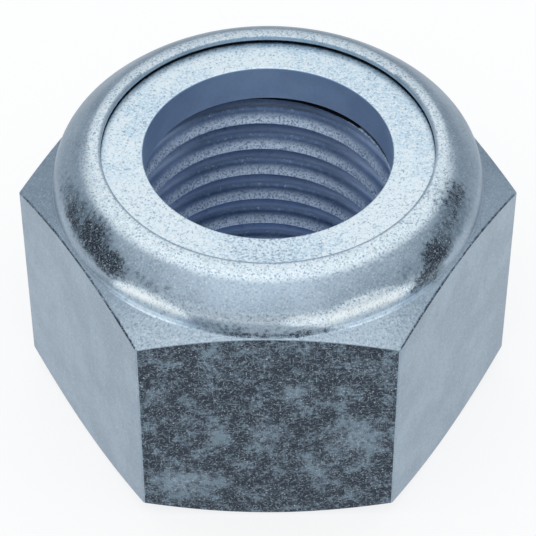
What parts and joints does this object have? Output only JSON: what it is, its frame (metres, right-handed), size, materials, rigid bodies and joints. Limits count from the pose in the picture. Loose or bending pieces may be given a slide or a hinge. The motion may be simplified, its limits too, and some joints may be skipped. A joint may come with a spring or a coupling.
{
  "type": "distorted thread lock nut",
  "caption": "All-metal lock nut: chamfered hexagon with a right-hand thread, and a plain locking ring held under the crimped lip of its domed collar.",
  "frame": {"origin": "centre of the bearing face, on the thread's axis", "axes": "+Z along the thread's axis, from the bearing face towards the locking ring; a corner of the hexagon lies on +X"},
  "size_m": [0.0346, 0.03, 0.0215],
  "materials": {
    "plated_steel": "zinc plated with a blue tint, satin, with dark mottled patches",
    "bright_steel": "zinc plated, pale and finely speckled"
  },
  "bodies": {
    "root": {"nut_body": "plated_steel", "locking_ring": "bright_steel"}
  },
  "joints": []
}
